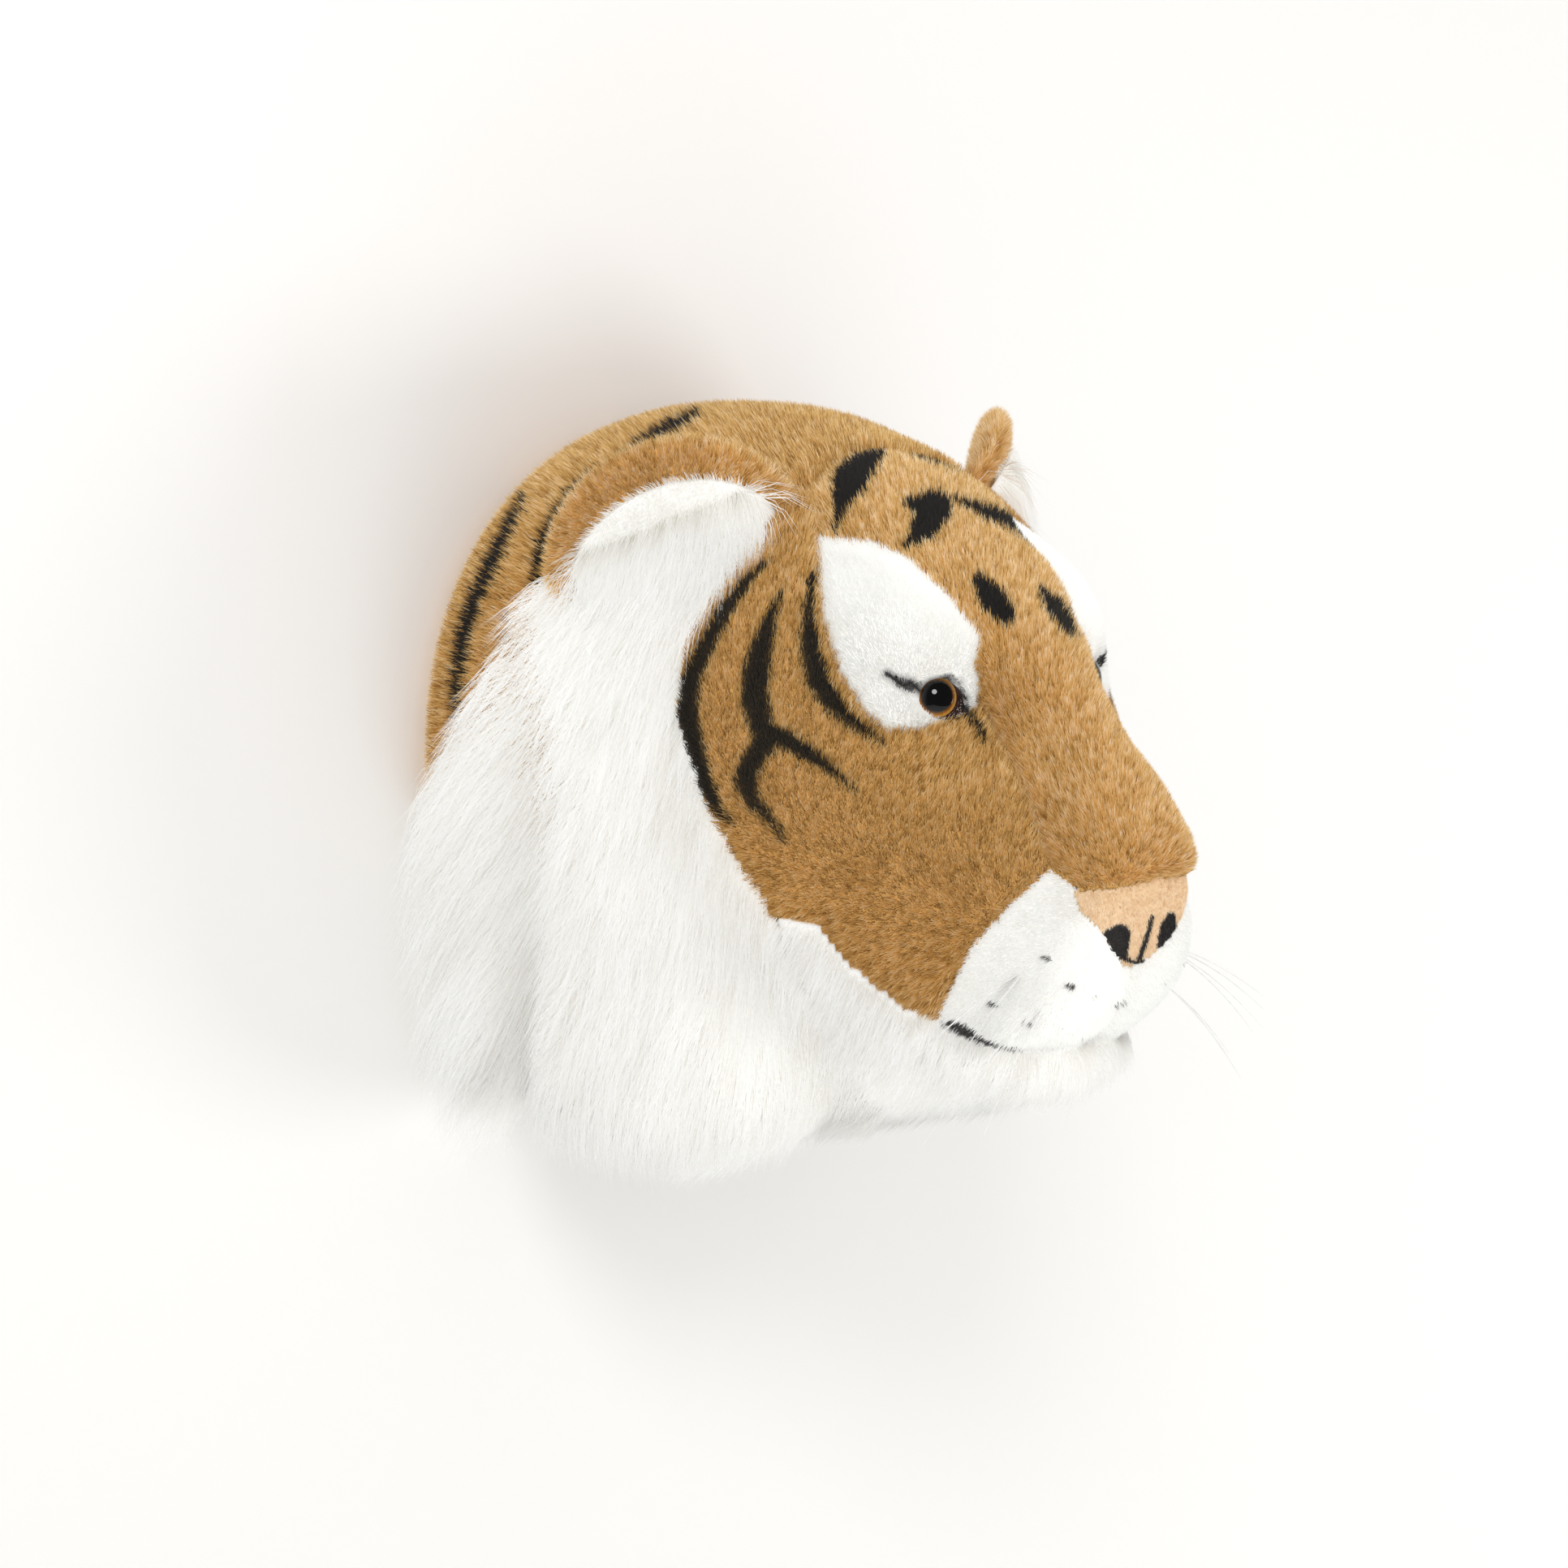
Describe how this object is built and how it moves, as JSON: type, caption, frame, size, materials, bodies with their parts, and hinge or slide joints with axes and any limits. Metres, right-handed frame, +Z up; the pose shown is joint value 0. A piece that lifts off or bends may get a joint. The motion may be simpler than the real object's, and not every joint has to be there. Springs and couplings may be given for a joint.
{
  "type": "plush tiger head wall trophy",
  "caption": "Wall-hung plush tiger head with sewn pile fabric panels over a stuffed core on a board, glossy eyes, whiskers, cupped ears and a hinged hanging ring on the back.",
  "frame": {"origin": "on the wall plane, on the flat back of the lining, level with the middle of the board across", "axes": "+Z up, +Y out of the back into the wall, so the face looks along -Y, and +X is the tiger's left"},
  "size_m": [0.2654, 0.258, 0.2811],
  "materials": {
    "board": "raw hardboard",
    "back_felt": "pressed felt",
    "hanger_brass": "plated and pressed",
    "zinc_steel": "zinc plated",
    "ring_steel": "nickel plated wire",
    "stuffing": "polyester fibre",
    "tan_pile": "9 mm tan pile with dark stripes",
    "white_pile": "6 mm white pile",
    "long_white_pile": "20 to 60 mm white pile",
    "nose_plush": "short shaved pile",
    "eye_plastic": "clear domed plastic over a brown iris",
    "washer_plastic": "moulded",
    "whisker_nylon": "drawn monofilament"
  },
  "bodies": {
    "head": {"back_board": "board", "back_lining": "back_felt", "hanger_strap": "hanger_brass", "hanger_screw_1": "zinc_steel", "hanger_screw_2": "zinc_steel", "skin_staple_1": "zinc_steel", "skin_staple_2": "zinc_steel", "skin_staple_3": "zinc_steel", "skin_staple_4": "zinc_steel", "skin_staple_5": "zinc_steel", "skin_staple_6": "zinc_steel", "skin_staple_7": "zinc_steel", "skin_staple_8": "zinc_steel", "skin_staple_9": "zinc_steel", "skin_staple_10": "zinc_steel", "skin_staple_11": "zinc_steel", "skin_staple_12": "zinc_steel", "head_filling": "stuffing", "nose_pad": "nose_plush", "bridge_panel": "tan_pile", "chin_panel": "long_white_pile", "throat_panel": "long_white_pile", "neck_panel_right": "tan_pile", "neck_panel_left": "tan_pile", "cheek_right": "tan_pile", "cheek_left": "tan_pile", "eye_patch_right": "white_pile", "eye_patch_left": "white_pile", "lip_right": "white_pile", "lip_left": "white_pile", "ruff_front_right": "long_white_pile", "ruff_front_left": "long_white_pile", "ruff_back_right": "long_white_pile", "ruff_back_left": "long_white_pile", "ear_back_right": "tan_pile", "ear_back_left": "tan_pile", "ear_lining_right": "white_pile", "ear_lining_left": "white_pile", "eye_right": "eye_plastic", "eye_left": "eye_plastic", "eye_washer_right": "washer_plastic", "eye_washer_left": "washer_plastic", "whiskers_upper_right": "whisker_nylon", "whiskers_upper_left": "whisker_nylon", "whiskers_lower_right": "whisker_nylon", "whiskers_lower_left": "whisker_nylon"},
    "ring": {"hanger_ring": "ring_steel"}
  },
  "joints": [
    {"name": "ring_swing", "type": "hinge", "parent": "head", "child": "ring", "pos_m": [0, -0.0022, 0.062], "axis": [-1, 0, 0], "range_deg": [0, 165]}
  ]
}
